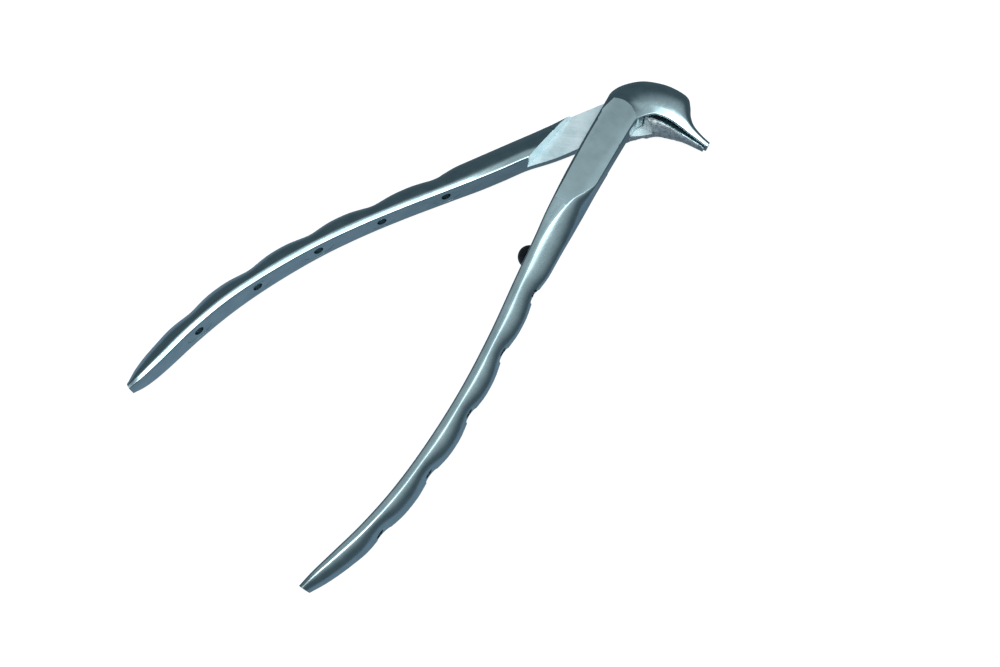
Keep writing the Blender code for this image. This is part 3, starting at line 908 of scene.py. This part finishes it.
studio = {
    "elevation": 69.0, "azimuth": 45.0, "distance": 0.2784, "lens": 39.6,
    "target": (19.48, -65.33),            # in plan from the pivot, in millimetres
    "floorSize": 3.0,
    "floorGlow": 1.25, "floorColor": (0.9, 0.9, 0.9), "floorShadow": 0.25,
    "floorTint": (0.21, 0.29, 0.37),      # what the steel sees of the floor on the near side
    "floorDark": (0.08, 0.115, 0.135),    # and on the far side
    "floorDarkAt": -0.06, "floorPaleAt": 0.01,
    "horizon": (0.072, 0.105, 0.125),
    "skyTint": (0.86, 0.97, 1.0),
    "farSky": 0.62, "nearSky": 0.5,
    "skyEdge": (0.5, 1.05),               # the sine of the height at which the sky is dark, and full
    "softbox": 5.0, "softboxElevation": 78.0, "softboxEdge": (0.915, 0.985),
    "sideBox": 2.0, "sideBoxEdge": (0.972, 0.992),
    "sideBoxWay": (-0.05, 0.42, 0.9),     # towards the camera, to its right, up
}
azimuth = math.radians(studio["azimuth"])
towards = Vector((math.sin(azimuth), -math.cos(azimuth), 0))      # level, from the object to the camera


def above(degrees):
    # the camera's side, raised to an elevation
    return towards * math.cos(math.radians(degrees)) + Vector((0, 0, math.sin(math.radians(degrees))))


def dotWith(tree, socket, vector):
    node = tree.nodes.new("ShaderNodeVectorMath")
    node.operation = "DOT_PRODUCT"
    tree.links.new(socket, node.inputs[0])
    node.inputs[1].default_value = vector
    return node.outputs["Value"]


def seenOrLit(tree, seen, lit):
    # one shader for what the camera sees directly, the other for what lights the object
    path = tree.nodes.new("ShaderNodeLightPath")
    both = tree.nodes.new("ShaderNodeMixShader")
    tree.links.new(path.outputs["Is Camera Ray"], both.inputs[0])
    tree.links.new(lit, both.inputs[1])
    tree.links.new(seen, both.inputs[2])
    return both.outputs[0]


def makeCamera():
    data = bpy.data.cameras.new("camera")
    data.lens = studio["lens"]
    data.clip_start = 0.01
    camera = bpy.data.objects.new("camera", data)
    bpy.context.scene.collection.objects.link(camera)
    direction = above(studio["elevation"])
    camera.location = place(*studio["target"], 0) + direction * studio["distance"]
    camera.rotation_euler = direction.to_track_quat("Z", "Y").to_euler()
    bpy.context.scene.camera = camera


def makeFloor():
    bm = bmesh.new()
    bmesh.ops.create_grid(bm, x_segments=1, y_segments=1, size=studio["floorSize"] / 2)
    bmesh.ops.translate(bm, verts=bm.verts, vec=(0, 0, cadBox[0][2] - 0.05 * mm))
    floor = newObject("floor", bm)
    paint = bpy.data.materials.new("paleTable")
    paint.use_nodes = True
    tree = paint.node_tree
    tree.nodes.clear()
    glow = tree.nodes.new("ShaderNodeEmission")
    glow.inputs["Strength"].default_value = studio["floorGlow"]
    glow.inputs["Color"].default_value = (1, 1, 1, 1)
    matt = tree.nodes.new("ShaderNodeBsdfDiffuse")
    matt.inputs["Color"].default_value = (*studio["floorColor"], 1)
    pale = tree.nodes.new("ShaderNodeMixShader")
    pale.inputs[0].default_value = studio["floorShadow"]
    tree.links.new(glow.outputs[0], pale.inputs[1])
    tree.links.new(matt.outputs[0], pale.inputs[2])
    spot = tree.nodes.new("ShaderNodeNewGeometry")
    reach = dotWith(tree, spot.outputs["Position"], towards)
    shade = rampAt(tree, reach, studio["floorDarkAt"], studio["floorPaleAt"])
    mirrored = tree.nodes.new("ShaderNodeEmission")
    tint = mixColor(tree, shade, studio["floorDark"], studio["floorTint"])
    tree.links.new(tint, mirrored.inputs["Color"])
    output = tree.nodes.new("ShaderNodeOutputMaterial")
    tree.links.new(seenOrLit(tree, pale.outputs[0], mirrored.outputs[0]), output.inputs["Surface"])
    floor.data.materials.append(paint)


def makeLight():
    # a white backdrop, and round the object a pale sky with a softbox overhead and one to the side
    world = bpy.data.worlds.new("studio")
    bpy.context.scene.world = world
    world.use_nodes = True
    tree = world.node_tree
    tree.nodes.clear()
    way = tree.nodes.new("ShaderNodeTexCoord").outputs["Generated"]
    axes = tree.nodes.new("ShaderNodeSeparateXYZ")
    tree.links.new(way, axes.inputs[0])
    right = Vector((-towards.y, towards.x, 0))
    tipped = math2(tree, "MULTIPLY", dotWith(tree, way, right), 0.3)
    sky = rampAt(tree, math2(tree, "ADD", axes.outputs["Z"], tipped), *studio["skyEdge"])
    nearness = rampAt(tree, dotWith(tree, way, towards), -0.5, 0.7)
    change = math2(tree, "MULTIPLY", nearness, studio["nearSky"] - studio["farSky"])
    level = math2(tree, "ADD", change, studio["farSky"])
    boxWay = above(studio["softboxElevation"])
    overhead = rampAt(tree, dotWith(tree, way, boxWay), *studio["softboxEdge"])
    near, across, up = studio["sideBoxWay"]
    sideWay = (towards * near + right * across + Vector((0, 0, up))).normalized()
    sidelong = rampAt(tree, dotWith(tree, way, sideWay), *studio["sideBoxEdge"])
    glow = math2(tree, "MULTIPLY", sky, level)
    glow = math2(tree, "ADD", glow, math2(tree, "MULTIPLY", sidelong, studio["sideBox"]))
    glow = math2(tree, "ADD", glow, math2(tree, "MULTIPLY", overhead, studio["softbox"]))
    tinted = mixColor(tree, 1, studio["skyTint"], glow, "MULTIPLY")
    lit = tree.nodes.new("ShaderNodeBackground")
    tree.links.new(mixColor(tree, 1, tinted, studio["horizon"], "ADD"), lit.inputs["Color"])
    plain = tree.nodes.new("ShaderNodeBackground")
    plain.inputs["Color"].default_value = (1, 1, 1, 1)
    output = tree.nodes.new("ShaderNodeOutputWorld")
    tree.links.new(seenOrLit(tree, plain.outputs[0], lit.outputs[0]), output.inputs["Surface"])


makeCamera()
makeFloor()
makeLight()
bpy.context.scene.view_settings.view_transform = "Standard"
print("camera, floor and light")
